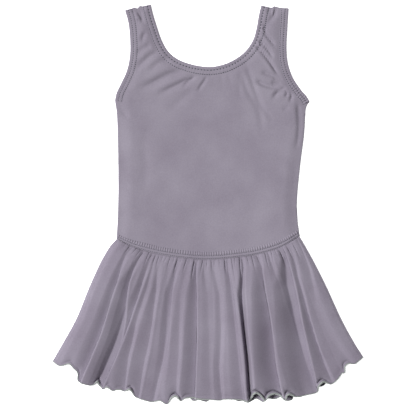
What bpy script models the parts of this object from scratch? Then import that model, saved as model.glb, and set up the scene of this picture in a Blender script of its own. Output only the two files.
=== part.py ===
# Child's tank leotard with an attached gathered skirt, laid flat on its back.
# +Z is up and out of the front, +Y runs to the shoulders, the underside rests at Z = 0.
import bpy
import bmesh
import numpy as np

# Driving sizes, in millimetres. The outlines further down are those of a chest of 240 mm.
MM = 0.001
WALL = 1.0              # cloth as modelled
BAND_WALL = 0.9         # turned edge, standing on its panel
SEAM_GAP = 0.3          # between neighbouring pieces
NECK_BAND_WIDTH = 10.0
ARM_BAND_WIDTH = 9.0
WAIST_BAND_WIDTH = 8.5
BAND_SWELL = 0.35       # how far a band bulges between its two rows of stitching
BODICE_LOFT = 1.6       # air held under the front bodice, away from its edges
BODICE_EDGE = 14.0      # how far in from an edge that air builds up
WAIST_STACK = 3.8       # the front bodice's underside at the waist seam, over the brief
WAIST_RISE = 34.0       # length over which the bodice climbs to it
SKIRT_DROP = 0.6        # from the bodice's lower edge to the skirt's upper one
BRIEF_INSET = 12.0      # the brief's side seam, in from the bodice's
BRIEF_DEPTH = 122.0     # waist seam to crotch
SIDE_SEAM_DEPTH = 40.0  # waist seam to the top of the leg opening
CROTCH_HALF = 27.0
BRIEF_ALLOWANCE = 4.0   # of the back brief, laid up over the back bodice
BRIEF_BACK_LEVEL = 2.5
BRIEF_CLIMB = 15.0      # length over which the back brief climbs to that level
OVER_BRIEF = 5.1        # front skirt's underside where the brief lies beneath it
BEYOND_BRIEF = 2.6      # and where only the back skirt does
BRIEF_MARGIN = 20.0     # how far past the brief's edge the first of them holds
BACK_CREASE = 0.9       # pinched creases in the back skirt
BACK_CREASES = 18
BACK_HEM_RISE = 0.3     # and what they gain at the hem
MIDDLE_Y = -0.30        # of the whole outline, in the outlines' own Y; the part is centred there
LILAC = (0.33, 0.29, 0.36, 1.0)

# Outlines, as points of X and Y, from the left shoulder round each edge.
NECK = [(-71.5, 247.1), (-68.2, 233.7), (-63.2, 217.6), (-57.8, 202.4), (-49.8, 188.5),
        (-37.7, 178.8), (-19.8, 172.2), (0.6, 169.3), (17.4, 171.7), (32.2, 177.9),
        (45.9, 188.0), (55.8, 201.9), (60.6, 217.6), (63.2, 232.5), (66.3, 245.9)]
NECK_BOTTOM = 7         # the point of it that lies lowest
ARMHOLE = {
    "left": [(-102.7, 239.9), (-98.2, 222.6), (-96.3, 200.3), (-96.7, 182.9),
             (-100.2, 165.5), (-107.3, 149.4), (-113.0, 137.5), (-115.3, 127.7)],
    "right": [(99.7, 242.4), (98.2, 217.6), (97.1, 195.3), (98.5, 175.5),
              (104.2, 157.5), (114.1, 142.0), (121.6, 133.2), (125.6, 126.5)],
}
SHOULDER = {
    "left": [(-71.5, 247.1), (-80.6, 246.1), (-87.7, 242.0), (-95.5, 242.3), (-102.7, 239.9)],
    "right": [(66.3, 245.9), (74.4, 244.9), (80.6, 245.9), (91.8, 243.7), (99.7, 242.4)],
}
SIDE_SEAM = {
    "left": [(-115.3, 127.7), (-112.8, 106.0), (-111.5, 53.9), (-111.4, 4.3), (-113.3, -43.5)],
    "right": [(125.6, 126.5), (121.3, 117.2), (119.0, 84.9), (114.3, 47.7),
              (110.3, 4.3), (111.0, -20.5), (113.5, -40.3)],
}
WAIST = [(-113.3, -43.5), (-91.0, -54.3), (-66.0, -61.4), (-36.0, -66.6), (0.6, -69.3),
         (41.5, -65.8), (66.5, -61.4), (91.5, -53.4), (113.5, -40.3)]
WAIST_BOTTOM = 4
SKIRT_LEFT = [(-113.3, -43.5), (-122.3, -54.3), (-132.7, -72.5), (-146.3, -102.3),
              (-162.4, -142.0), (-178.6, -171.7), (-192.2, -195.3)]
SKIRT_RIGHT = [(113.5, -40.3), (120.9, -53.3), (131.4, -72.5), (146.3, -102.3),
               (164.4, -142.0), (180.4, -171.7), (192.2, -190.3)]
HEM = [(-192.2, -195.3), (-168.6, -201.5), (-156.2, -216.9), (-133.9, -226.3), (-109.1, -231.0),
       (-86.8, -238.2), (-59.5, -242.7), (0.0, -242.7), (64.5, -242.7), (101.7, -239.0),
       (132.7, -232.5), (157.5, -218.9), (166.8, -208.9), (177.1, -197.5), (192.2, -190.3)]

# Creases in the front bodice: a soft trough from one end to the other, "cut" deep.
CREASE_COLUMNS = ("from_x", "from_y", "to_x", "to_y", "half_width", "cut")
CREASES = [
    (-27, 164, -88, 140, 5.5, 1.0),    # neck to left armhole, the broad one
    (-11, 160, -68, 132, 4.5, 0.7),
    (-1, 157, -14, 139, 3.0, 0.5),
    (-18, 141, -55, 112, 6.0, 0.5),
    (-60, 190, -84, 165, 4.5, 0.7),
    (-77, 216, -86, 196, 3.5, 0.6),    # left strap
    (44, 177, 80, 105, 5.0, 1.0),      # neck to right side
    (41, 168, 68, 88, 5.5, 0.8),
    (38, 165, 41, 128, 4.5, 0.4),
    (62, 199, 90, 157, 3.5, 1.1),      # right strap to armhole
    (64, 214, 86, 193, 3.5, 0.8),
    (70, 154, 96, 152, 3.5, 0.9),      # drawn in by the right armhole
    (78, 130, 96, 143, 4.0, 0.8),
    (103, 134, 101, 118, 3.5, 1.1),
    (111, 126, 113, 66, 5.0, 0.9),     # down the right side
    (-112, 117, -97, 105, 4.0, 0.6),
    (-88, 241, -80, 228, 3.5, 1.0),    # pinch at each shoulder seam
    (84, 243, 83, 224, 3.5, 1.0),
]

# Folds of the front skirt, crest and trough in turn, left to right. The first five columns say
# where each lies, in percent of the skirt's width, at the waist and at each quarter of the drop.
# The last three say how high it stands, in millimetres, near the waist, midway and at the hem.
FOLD_COLUMNS = ("waist", "quarter", "half", "three_quarters", "hem", "high", "middle", "low")
FOLDS = [
    (0.0, 0.0, 0.0, 0.0, 0.0, 0.0, 0.0, 0.0),
    (4.0, 4.0, 4.0, 4.0, 4.2, 1.8, 2.6, 3.4),
    (7.5, 7.6, 7.8, 8.2, 8.8, 0.8, 0.7, 0.8),
    (10.0, 10.2, 10.2, 10.7, 11.2, 2.0, 3.2, 4.6),
    (13.5, 12.3, 12.6, 14.2, 14.7, 0.6, 0.7, 0.0),
    (16.0, 15.5, 15.0, 15.1, 15.5, 1.8, 2.0, 0.2),
    (18.8, 18.7, 17.3, 16.1, 16.3, 0.5, 0.7, 0.2),
    (20.3, 20.3, 18.9, 18.0, 17.8, 1.8, 3.6, 5.2),
    (21.8, 21.6, 20.6, 20.4, 21.5, 0.3, 1.3, 2.0),
    (23.3, 23.4, 23.2, 22.6, 23.4, 1.6, 3.2, 3.4),
    (24.9, 25.5, 25.7, 24.9, 25.2, 0.5, 1.8, 2.6),
    (28.0, 28.3, 28.2, 28.4, 28.8, 2.0, 3.6, 4.6),
    (32.8, 31.8, 31.5, 31.0, 30.8, 0.2, 0.8, 1.6),
    (34.9, 34.5, 34.3, 34.3, 34.5, 2.0, 3.7, 4.4),
    (37.0, 36.8, 36.8, 37.0, 37.3, 0.9, 3.0, 3.4),
    (39.5, 39.7, 39.9, 39.8, 39.6, 2.0, 3.8, 4.3),
    (42.3, 42.4, 42.9, 43.3, 43.6, 0.0, 0.5, 0.8),
    (45.5, 46.2, 46.4, 46.3, 46.0, 2.0, 3.7, 4.2),
    (48.2, 48.9, 49.2, 49.2, 49.2, 0.8, 2.6, 3.0),
    (50.5, 51.0, 51.3, 51.1, 51.1, 2.0, 3.6, 3.9),
    (53.0, 52.8, 52.9, 52.7, 52.8, 0.7, 2.5, 2.6),
    (55.2, 55.2, 55.4, 55.2, 55.2, 2.0, 3.8, 4.2),
    (57.8, 58.2, 58.3, 58.4, 58.6, 0.4, 2.0, 2.4),
    (61.5, 61.3, 61.3, 61.2, 60.8, 2.4, 4.6, 5.8),
    (65.8, 63.9, 63.2, 62.9, 62.3, 0.0, 0.0, 0.0),
    (67.6, 66.8, 65.8, 65.2, 64.3, 2.2, 3.8, 5.0),
    (71.5, 71.4, 70.0, 69.0, 68.6, 0.6, 0.8, 1.2),
    (75.0, 75.6, 74.1, 72.8, 71.8, 2.2, 4.0, 5.2),
    (78.5, 79.0, 77.0, 75.6, 74.3, 0.8, 1.4, 0.8),
    (82.5, 81.3, 79.2, 77.6, 76.3, 1.8, 1.5, 1.2),
    (86.6, 84.6, 81.8, 80.4, 80.2, 0.2, 0.2, 0.6),
    (88.9, 87.8, 84.8, 83.4, 83.2, 2.0, 3.8, 4.6),
    (90.9, 89.8, 87.3, 86.2, 86.2, 0.9, 1.8, 2.4),
    (92.9, 92.0, 90.0, 89.3, 89.3, 1.9, 3.2, 3.6),
    (95.2, 94.8, 93.4, 93.0, 93.6, 0.7, 2.0, 2.6),
    (97.4, 97.2, 96.8, 96.8, 97.0, 1.3, 2.4, 3.0),
    (100.0, 100.0, 100.0, 100.0, 100.0, 0.0, 0.0, 0.0),
]
GATHER_CUT = 1.0        # depth of the small gathers at the waist seam, one in each slope of a fold
GATHER_FADE = 0.10      # share of the skirt's drop over which they die away
SIDE_SHARE = 0.035      # share of its width over which the front skirt comes down at each side

# Waves of the rolled hems, one row for each turn of the edge: how far along it, in percent of the
# skirt's width, how far out from the hem's own line, and how far it stands up, in millimetres.
HEM_COLUMNS = ("at", "out", "stands")
FRONT_HEM = [
    (0.0, 0.0, 0.0), (2.7, 3.4, 0.0), (4.8, -2.0, 0.8), (6.7, 0.0, 0.3), (8.7, -0.7, 0.6), (9.8, 5.2, 0.4),
    (11.6, 3.8, 0.0), (13.3, 2.8, 0.0), (14.6, 0.8, 0.3), (15.4, -3.6, 1.8), (16.3, 0.0, 0.8),
    (17.8, 1.9, 0.0), (18.8, -1.7, 0.8), (20.7, 1.9, 0.0), (21.7, 0.0, 0.4), (22.9, -1.0, 0.6),
    (24.1, -0.4, 0.3), (25.4, -5.2, 2.0), (26.4, -3.6, 1.2), (27.8, 1.8, 0.0), (30.8, 2.8, 0.2),
    (32.9, 3.4, 0.0), (35.2, 0.6, 0.6), (37.4, 4.8, 0.0), (38.5, -1.8, 1.6), (39.7, -5.6, 2.6),
    (41.3, 0.6, 0.4), (42.4, -2.5, 0.8), (44.2, -3.0, 1.0), (46.9, -1.6, 0.6), (50.8, -0.3, 0.2),
    (53.1, 0.4, 0.0), (54.8, -1.3, 0.4), (58.1, -1.0, 0.4), (60.9, 1.2, 0.2), (62.3, -2.0, 1.0),
    (63.8, -8.0, 2.6), (65.0, -9.8, 3.0), (66.1, -6.8, 2.4), (66.9, 0.0, 0.8), (68.1, -4.0, 1.8),
    (69.8, -6.0, 2.4), (71.2, -3.8, 1.8), (72.5, 2.4, 0.4), (73.4, -3.2, 1.6), (74.5, -3.8, 2.0),
    (76.0, 0.7, 0.4), (79.1, 0.9, 0.0), (82.2, 1.5, 0.0), (83.1, -4.2, 1.2), (84.5, -7.4, 2.2),
    (85.7, -6.6, 1.8), (86.8, -1.0, 0.6), (87.8, 0.8, 0.0), (91.6, -0.5, 0.2), (92.7, 1.6, 0.4),
    (93.6, -3.0, 1.0), (95.2, -2.0, 0.8), (96.7, 3.0, 0.0), (98.2, 2.0, 0.0), (100.0, 0.0, 0.0),
]
BACK_HEM = [
    (0.0, 0.0, 0.0), (4.0, -1.5, 0.0), (7.0, -5.0, 0.3), (10.5, -1.5, 0.0), (14.0, -6.0, 0.3),
    (17.5, -2.5, 0.0), (20.0, -5.0, 0.3), (23.0, -3.5, 0.0), (25.5, -7.0, 0.3), (28.5, -2.0, 0.0),
    (30.7, 3.8, 0.2), (32.3, -1.0, 0.0), (35.5, -4.0, 0.3), (38.0, -1.0, 0.0), (40.5, -7.0, 0.3),
    (44.0, -3.0, 0.0), (45.2, 1.6, 0.0), (47.0, 0.4, 0.4), (49.2, 2.6, 0.0), (50.6, -3.0, 0.3),
    (54.0, -4.5, 0.0), (57.0, -2.5, 0.2), (58.6, 1.8, 0.2), (59.9, 1.0, 0.4), (61.4, 3.6, 0.1),
    (63.0, 0.0, 0.2), (64.4, -3.0, 0.4), (66.3, 3.2, 0.0), (67.6, -1.5, 0.3), (70.0, 0.4, 0.2),
    (71.6, -1.0, 0.3), (72.6, 4.2, 0.0), (74.4, 4.4, 0.2), (75.6, -1.0, 0.3), (77.3, 2.6, 0.0),
    (79.0, -4.0, 0.3), (82.0, -6.0, 0.0), (84.6, -2.4, 0.2), (86.4, -4.0, 0.3), (90.0, -7.0, 0.0),
    (93.0, -6.0, 0.3), (96.5, -3.0, 0.0), (100.0, 0.0, 0.0),
]
WAVE_REACH = 0.12       # share of the drop over which the waves die away, going up
STAND_REACH = 0.05      # share of it over which a standing edge comes up

# How finely each piece is divided
CURVE_STEPS = 14        # points on an outline between two named ones
FOLD_STEPS = 4          # columns from a crest to its trough
FRONT_DROPS = (0.0, 0.04, 0.10, 0.20, 0.33, 0.47, 0.61, 0.75, 0.87, 0.95, 1.0)
BACK_DROPS = (0.0, 0.12, 0.36, 0.64, 0.88, 1.0)
BACK_COLUMNS = 108
BODICE_COLUMNS = 14     # in each half, two of them in each band
ARMHOLE_ROWS = 12
TORSO_SHARES = (0.0, 0.03, 0.08, 0.17, 0.29, 0.42, 0.55, 0.68, 0.79, 0.88)
BRIEF_COLUMNS = 16
BRIEF_DEPTHS = (6.0, 15.0, 27.0, SIDE_SEAM_DEPTH, 52.0, 66.0, 84.0, 103.0, BRIEF_DEPTH)

REST = WALL + SEAM_GAP  # underside of a piece that lies straight on the lowest layer
SIDES = ("left", "right")


def smooth_line(points):
    """Close points on a smooth curve through the given ones."""
    p = np.array(points, float)
    p = np.vstack([2 * p[0] - p[1], p, 2 * p[-1] - p[-2]])
    f = np.linspace(0, 1, CURVE_STEPS, endpoint=False)[:, None]
    spans = []
    for a, b, c, d in zip(p, p[1:], p[2:], p[3:]):
        bend = (2 * a - 5 * b + 4 * c - d) + f * (3 * b - a - 3 * c + d)
        spans.append(b + 0.5 * f * ((c - a) + f * bend))
    return np.vstack(spans + [p[-2:-1]])


def lengths(line):
    """Distance along a line to each of its points."""
    return np.r_[0, np.cumsum(np.linalg.norm(np.diff(line, axis=0), axis=1))]


def along(line, share):
    """The point at this share of a line's length."""
    far = lengths(line)
    return np.array([np.interp(share * far[-1], far, line[:, axis]) for axis in (0, 1)])


def ease(share):
    """0 to 1 with a soft start and a soft stop."""
    share = np.clip(share, 0.0, 1.0)
    return share * share * (3 - 2 * share)


NECK_LINE = smooth_line(NECK)
WAIST_LINE = smooth_line(WAIST)
ARMHOLE_LINE = {side: smooth_line(ARMHOLE[side]) for side in SIDES}
SHOULDER_LINE = {side: smooth_line(SHOULDER[side]) for side in SIDES}
SIDE_LINE = {side: smooth_line(SIDE_SEAM[side]) for side in SIDES}
SKIRT_LEFT_LINE = smooth_line(SKIRT_LEFT)
SKIRT_RIGHT_LINE = smooth_line(SKIRT_RIGHT)
HEM_LINE = smooth_line(HEM)
HEM_LINES = {"front": smooth_line(FRONT_HEM).T, "back": smooth_line(BACK_HEM).T}
NECK_LOW = lengths(NECK_LINE)[NECK_BOTTOM * CURVE_STEPS] / lengths(NECK_LINE)[-1]
WAIST_MIDDLE = WAIST_BOTTOM * CURVE_STEPS
HALF_WAIST = {"left": WAIST_LINE[:WAIST_MIDDLE + 1][::-1], "right": WAIST_LINE[WAIST_MIDDLE:]}
CENTRE_X = WAIST[WAIST_BOTTOM][0]
BODICE_EDGES = np.vstack([NECK_LINE] + [line[side] for side in SIDES
                                        for line in (ARMHOLE_LINE, SHOULDER_LINE, SIDE_LINE)])


def inset_point(line, share, inset, turn):
    """A point this far off a line, to its left for a turn of 1 and to its right for -1."""
    ahead = along(line, min(share + 0.02, 1.0)) - along(line, max(share - 0.02, 0.0))
    return along(line, share) + inset * turn * np.array([-ahead[1], ahead[0]]) / np.linalg.norm(ahead)


def neck_point(side, share, inset):
    """A point in from the neck edge; share runs from the shoulder to the lowest point."""
    whole = share * NECK_LOW if side == "left" else 1 - share * (1 - NECK_LOW)
    return inset_point(NECK_LINE, whole, inset, -1)


def arm_point(side, share, inset):
    """A point in from an armhole's edge; share runs from the shoulder to the underarm."""
    return inset_point(ARMHOLE_LINE[side], share, inset, 1 if side == "left" else -1)


def bow_of(line, share):
    """How far a line stands off its own chord."""
    return along(line, share) - (line[0] + share * (line[-1] - line[0]))


def upper_point(side, column, share):
    """A point of the bodice between neck and armhole. Columns 0 to 2 span the neck band and the
    last two the armhole band; share runs from the shoulder to the underarm."""
    from_arm = BODICE_COLUMNS - column
    if column <= 2:
        return neck_point(side, share, 0.5 * column * NECK_BAND_WIDTH)
    if from_arm <= 2:
        return arm_point(side, share, 0.5 * from_arm * ARM_BAND_WIDTH)
    across = (column - 2) / (BODICE_COLUMNS - 4)
    inner = neck_point(side, share, NECK_BAND_WIDTH)
    outer = arm_point(side, share, ARM_BAND_WIDTH)
    return inner + across * (outer - inner) + (1 - share) * bow_of(SHOULDER_LINE[side], across)


def torso_point(side, column, row):
    """A point of the bodice below the neck and underarm. The last three rows span the waist band."""
    top = upper_point(side, column, 1.0)
    centre = np.array([neck_point(side, 1.0, NECK_BAND_WIDTH), HALF_WAIST[side][0]])
    underarm = SIDE_LINE[side][0]
    across = (top[0] - centre[0][0]) / (underarm[0] - centre[0][0])
    bottom = along(HALF_WAIST[side], across)
    above_waist = (len(TORSO_SHARES) + 2 - row) * 0.5 * WAIST_BAND_WIDTH
    down = TORSO_SHARES[row] if row < len(TORSO_SHARES) else 1 - above_waist / np.linalg.norm(top - bottom)
    corners = (1 - across) * ((1 - down) * centre[0] + down * centre[1]) \
        + across * ((1 - down) * underarm + down * SIDE_LINE[side][-1])
    edges = (1 - across) * along(centre, down) + across * along(SIDE_LINE[side], down)
    return (1 - down) * top + down * bottom + edges - corners


def waist_y(x):
    return np.interp(x, WAIST_LINE[:, 0], WAIST_LINE[:, 1])


def crease_cut(point):
    """How deep the creases cut at a point."""
    deepest = 0.0
    for row in CREASES:
        crease = dict(zip(CREASE_COLUMNS, row))
        start = np.array([crease["from_x"], crease["from_y"]], float)
        run = np.array([crease["to_x"], crease["to_y"]], float) - start
        share = np.dot(point - start, run) / np.dot(run, run)
        off = abs(np.dot(point - start, [-run[1], run[0]])) / np.linalg.norm(run)
        ends = ease((share + 0.15) / 0.3) * ease((1.15 - share) / 0.4)
        deepest = max(deepest, crease["cut"] * ends * (1 - ease(off / (1.6 * crease["half_width"]))))
    return deepest


def bodice_level(point):
    """Height of the front bodice's underside."""
    inside = np.linalg.norm(BODICE_EDGES - point, axis=1).min()
    loft = BODICE_LOFT * ease(inside / BODICE_EDGE)
    loft -= crease_cut(point) * min(1.0, loft)
    seam = (WAIST_STACK - REST) * ease(inside / (0.8 * BODICE_EDGE))
    near_waist = ease(1 - (point[1] - waist_y(point[0])) / WAIST_RISE)
    return REST + (1 - near_waist) * max(loft, 0.0) + near_waist * seam


def band_level(point):
    """Height of a band's underside, on the front bodice."""
    return bodice_level(point) + WALL + 1.2 * SEAM_GAP


def brief_half_width(depth):
    """Half the brief's width, this far under the waist seam."""
    side = 0.5 * (WAIST[-1][0] - WAIST[0][0]) - BRIEF_INSET
    share = np.clip((depth - SIDE_SEAM_DEPTH) / (BRIEF_DEPTH - SIDE_SEAM_DEPTH), 0.0, 1.0)
    return CROTCH_HALF + (side - CROTCH_HALF) * (1 - np.sin(0.5 * np.pi * share))


def skirt_plan(u, v):
    """X and Y on the skirt: u runs 0 to 1 from left to right, v 0 to 1 from waist to hem."""
    left, right = along(SKIRT_LEFT_LINE, v), along(SKIRT_RIGHT_LINE, v)
    top, bottom = along(WAIST_LINE, u), along(HEM_LINE, u)
    corners = (1 - u) * ((1 - v) * WAIST_LINE[0] + v * HEM_LINE[0]) \
        + u * ((1 - v) * WAIST_LINE[-1] + v * HEM_LINE[-1])
    plan = (1 - u) * left + u * right + (1 - v) * top + v * bottom - corners
    return plan - (1 - v) * np.array([0.0, SKIRT_DROP])


def skirt_floor(point):
    """The lowest that the front skirt may hang: over the brief, or beyond its edge."""
    depth = waist_y(point[0]) - point[1]
    beside = abs(point[0] - CENTRE_X) - brief_half_width(depth - BRIEF_MARGIN)
    below = depth - BRIEF_DEPTH - BRIEF_MARGIN
    return OVER_BRIEF + (BEYOND_BRIEF - OVER_BRIEF) * ease(max(beside, below) / BRIEF_MARGIN)


def fold_at(index, v):
    """Where a fold lies across the skirt and how high it stands, at this drop."""
    row = FOLDS[index]
    place = np.interp(v, (0, 0.25, 0.5, 0.75, 1), row[:5]) / 100
    return place, np.interp(v, (0.05, 0.5, 1), row[5:])


def hem_turn(table, u):
    """How far the hem stands out, and up, at this place along it."""
    return [np.interp(100 * u, HEM_LINES[table][0], HEM_LINES[table][column]) for column in (1, 2)]


def hem_point(table, u, v):
    """X and Y on the skirt, with the hem's waves, and how far its edge stands up there."""
    out, stands = hem_turn(table, u)
    fall = skirt_plan(u, 1.0) - skirt_plan(u, 0.9)
    out *= ease((v - 1 + WAVE_REACH) / WAVE_REACH)
    return skirt_plan(u, v) + out * fall / np.linalg.norm(fall), stands * ease((v - 1 + STAND_REACH) / STAND_REACH)


def front_skirt_point(column, v):
    """A point of the front skirt's underside; whole columns lie on crests and troughs."""
    index = min(int(column), len(FOLDS) - 2)
    share = column - index
    (near, near_height), (far, far_height) = fold_at(index, v), fold_at(index + 1, v)
    u = near + share * (far - near)
    height = near_height + ease(share) * (far_height - near_height)
    gather = GATHER_CUT * np.sin(np.pi * share) ** 2 * ease(1 - v / GATHER_FADE)
    side = ease(min(u, 1 - u) / SIDE_SHARE)
    level = REST + side * (skirt_floor(skirt_plan(u, v)) - REST)
    plan, stands = hem_point("front", u, v)
    return (*plan, level + ease((v + 0.02) / 0.10) * max(height - gather, 0.0) + stands)


def back_skirt_point(u, v):
    """A point of the back skirt's underside: flat on the table between narrow creases."""
    phase = BACK_CREASES * u + 0.35 * np.sin(9 * u) + 0.2 * np.sin(23 * u)
    pinch = max(0.0, np.cos(2 * np.pi * phase)) ** 2 * ease(min(u, 1 - u) / 0.04)
    rise = BACK_CREASE * ease((v - 0.04) / 0.3) + BACK_HEM_RISE * ease((v - 0.7) / 0.3)
    plan, stands = hem_point("back", u, v)
    return (*plan, max(pinch * rise, stands))


def brief_point(across, depth, level):
    """A point of the brief; across runs -1 to 1."""
    x = CENTRE_X + across * brief_half_width(depth)
    return x, waist_y(x) - depth, level


def add_grid(bm, columns, rows, point_at):
    """Adds a grid and puts each of its corners where point_at(column, row) says."""
    for vert in bmesh.ops.create_grid(bm, x_segments=columns, y_segments=rows, size=0.5)["verts"]:
        column = round((vert.co.x + 0.5) * columns)
        row = round((vert.co.y + 0.5) * rows)
        x, y, z = point_at(column, row)
        vert.co = (x * MM, (y - MIDDLE_Y) * MM, z * MM)


def bodice_front(bm):
    for side in SIDES:
        def upper(column, row):
            plan = upper_point(side, column, row / ARMHOLE_ROWS)
            return (*plan, bodice_level(plan))

        def torso(column, row):
            plan = torso_point(side, column + 2, row)
            return (*plan, bodice_level(plan))

        add_grid(bm, BODICE_COLUMNS, ARMHOLE_ROWS, upper)
        add_grid(bm, BODICE_COLUMNS - 2, len(TORSO_SHARES) + 2, torso)


def neck_band(bm):
    for side in SIDES:
        def strip(column, row):
            plan = upper_point(side, column, row / ARMHOLE_ROWS)
            return (*plan, band_level(plan) + BAND_SWELL * (column == 1))

        add_grid(bm, 2, ARMHOLE_ROWS, strip)


def armhole_band(side):
    def build(bm):
        def strip(column, row):
            plan = upper_point(side, BODICE_COLUMNS - 2 + column, row / ARMHOLE_ROWS)
            return (*plan, band_level(plan) + BAND_SWELL * (column == 1))

        add_grid(bm, 2, ARMHOLE_ROWS, strip)
    return build


def waist_band(bm):
    for side in SIDES:
        def strip(column, row):
            plan = torso_point(side, column + 2, len(TORSO_SHARES) + row)
            return (*plan, band_level(plan) + BAND_SWELL * (row == 1))

        add_grid(bm, BODICE_COLUMNS - 2, 2, strip)


def brief_front(bm):
    depths = (2 * SEAM_GAP,) + BRIEF_DEPTHS
    add_grid(bm, BRIEF_COLUMNS, len(depths) - 1, lambda column, row: brief_point(
        2 * column / BRIEF_COLUMNS - 1, depths[row], WAIST_STACK))


def brief_back(bm):
    depths = (-BRIEF_ALLOWANCE,) + BRIEF_DEPTHS
    add_grid(bm, BRIEF_COLUMNS, len(depths) - 1, lambda column, row: brief_point(
        2 * column / BRIEF_COLUMNS - 1, depths[row],
        REST + (BRIEF_BACK_LEVEL - REST) * ease(depths[row] / BRIEF_CLIMB)))


def skirt_front(bm):
    columns = FOLD_STEPS * (len(FOLDS) - 1)
    add_grid(bm, columns, len(FRONT_DROPS) - 1,
             lambda column, row: front_skirt_point(column / FOLD_STEPS, FRONT_DROPS[row]))


def skirt_back(bm):
    add_grid(bm, BACK_COLUMNS, len(BACK_DROPS) - 1,
             lambda column, row: back_skirt_point(column / BACK_COLUMNS, BACK_DROPS[row]))


def cloth_material(name):
    """Matt jersey in the lilac grey of the garment."""
    material = bpy.data.materials.new(name)
    material.use_nodes = True
    shader = material.node_tree.nodes["Principled BSDF"]
    shader.inputs["Base Color"].default_value = LILAC
    shader.inputs["Roughness"].default_value = 0.85
    shader.inputs["Metallic"].default_value = 0.0
    return material


def add_piece(name, build, thickness, collection):
    """Makes one piece: an open surface, given its wall outward by Solidify."""
    bm = bmesh.new()
    build(bm)
    bmesh.ops.remove_doubles(bm, verts=bm.verts, dist=0.00001)
    bmesh.ops.recalc_face_normals(bm, faces=bm.faces)
    if sum(face.normal.z for face in bm.faces) < 0:
        bmesh.ops.reverse_faces(bm, faces=bm.faces)
    mesh = bpy.data.meshes.new(name)
    bm.to_mesh(mesh)
    bm.free()
    mesh.shade_smooth()
    mesh.set_sharp_from_angle(angle=np.radians(50))
    mesh.materials.append(cloth_material(name + " jersey"))
    piece = bpy.data.objects.new(name, mesh)
    collection.objects.link(piece)
    wall = piece.modifiers.new("Wall", "SOLIDIFY")
    wall.thickness = thickness * MM
    wall.offset = 1.0


def add_bodice_back(collection):
    """The back bodice lies flat, so it is one filled outline, half its thickness each way."""
    curve = bpy.data.curves.new("bodice_back", "CURVE")
    curve.dimensions = "2D"
    curve.fill_mode = "BOTH"
    curve.extrude = 0.5 * WALL * MM
    shares = np.linspace(0, 1, ARMHOLE_ROWS + 1)
    sides = {side: [along(ARMHOLE_LINE[side], share) for share in shares]
             + [along(SIDE_LINE[side], share) for share in shares[1:]] for side in SIDES}
    waist = [along(WAIST_LINE, share) for share in np.linspace(0, 1, 2 * ARMHOLE_ROWS + 1)]
    neck = [along(NECK_LINE, share) for share in np.linspace(1, 0, 2 * ARMHOLE_ROWS + 1)]
    shoulders = {side: [along(SHOULDER_LINE[side], share) for share in (0.25, 0.5, 0.75)] for side in SIDES}
    outline = sides["left"] + waist[1:-1] + sides["right"][::-1] \
        + shoulders["right"][::-1] + neck + shoulders["left"]
    spline = curve.splines.new("POLY")
    spline.points.add(len(outline) - 1)
    for point, (x, y) in zip(spline.points, outline):
        point.co = (x * MM, y * MM, 0.0, 1.0)
    spline.use_cyclic_u = True
    curve.materials.append(cloth_material("bodice_back jersey"))
    piece = bpy.data.objects.new("bodice_back", curve)
    piece.location = (0.0, -MIDDLE_Y * MM, 0.5 * WALL * MM)
    collection.objects.link(piece)


def main():
    for old in list(bpy.data.objects):
        bpy.data.objects.remove(old)
    collection = bpy.data.collections.new("tank leotard")
    bpy.context.scene.collection.children.link(collection)
    add_bodice_back(collection)
    for name, build in (("bodice_front", bodice_front), ("brief_back", brief_back),
                        ("brief_front", brief_front), ("skirt_back", skirt_back),
                        ("skirt_front", skirt_front)):
        add_piece(name, build, WALL, collection)
    for name, build in (("neck_band", neck_band), ("armhole_band_left", armhole_band("left")),
                        ("armhole_band_right", armhole_band("right")), ("waist_band", waist_band)):
        add_piece(name, build, BAND_WALL, collection)


main()
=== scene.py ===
# A child's tank leotard with a gathered skirt, laid flat on its back and seen from straight above.
# Outlines are in millimetres: X to the right, Y to the shoulders, Z up out of the front.
import math
import bpy
import bmesh
import numpy as np
from mathutils import Matrix, Vector, noise


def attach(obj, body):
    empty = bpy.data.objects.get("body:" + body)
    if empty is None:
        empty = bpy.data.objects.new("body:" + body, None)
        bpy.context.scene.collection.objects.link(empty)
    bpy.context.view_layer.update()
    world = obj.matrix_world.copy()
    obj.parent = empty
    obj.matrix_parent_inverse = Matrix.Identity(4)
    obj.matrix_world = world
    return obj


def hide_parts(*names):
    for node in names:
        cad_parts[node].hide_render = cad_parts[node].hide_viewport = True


mm = 0.001
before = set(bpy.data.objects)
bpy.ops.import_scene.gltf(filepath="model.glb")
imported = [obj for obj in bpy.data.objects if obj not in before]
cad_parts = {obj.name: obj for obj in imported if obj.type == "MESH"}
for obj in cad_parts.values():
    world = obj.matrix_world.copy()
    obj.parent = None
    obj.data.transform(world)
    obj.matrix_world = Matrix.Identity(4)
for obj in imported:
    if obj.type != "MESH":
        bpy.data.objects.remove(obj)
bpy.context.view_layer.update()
print("frame loaded")

layers = {
    "cloth": 0.8,           # thickness of the jersey
    "rest": 1.3,            # underside of the front where it lies on the back
    "middleY": -0.30,       # of the whole outline, which is centred on the part
}

camera = {
    "lens": 150.0,
    "sensor": 36.0,
    "frameWidth": 515.84,   # how much of the cloth's plane the square picture takes in
    "planeHeight": 4.0,
    "aimY": -5.28,
}


def addCamera():
    data = bpy.data.cameras.new("camera above")
    data.lens = camera["lens"]
    data.sensor_width = camera["sensor"]
    data.clip_end = 50
    rig = bpy.data.objects.new("camera above", data)
    distance = camera["frameWidth"] * camera["lens"] / camera["sensor"]
    rig.location = (0, camera["aimY"] * mm, (camera["planeHeight"] + distance) * mm)
    bpy.context.scene.collection.objects.link(rig)
    bpy.context.scene.camera = rig


addCamera()
print("camera placed")


# Outlines, as laid on the table

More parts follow.
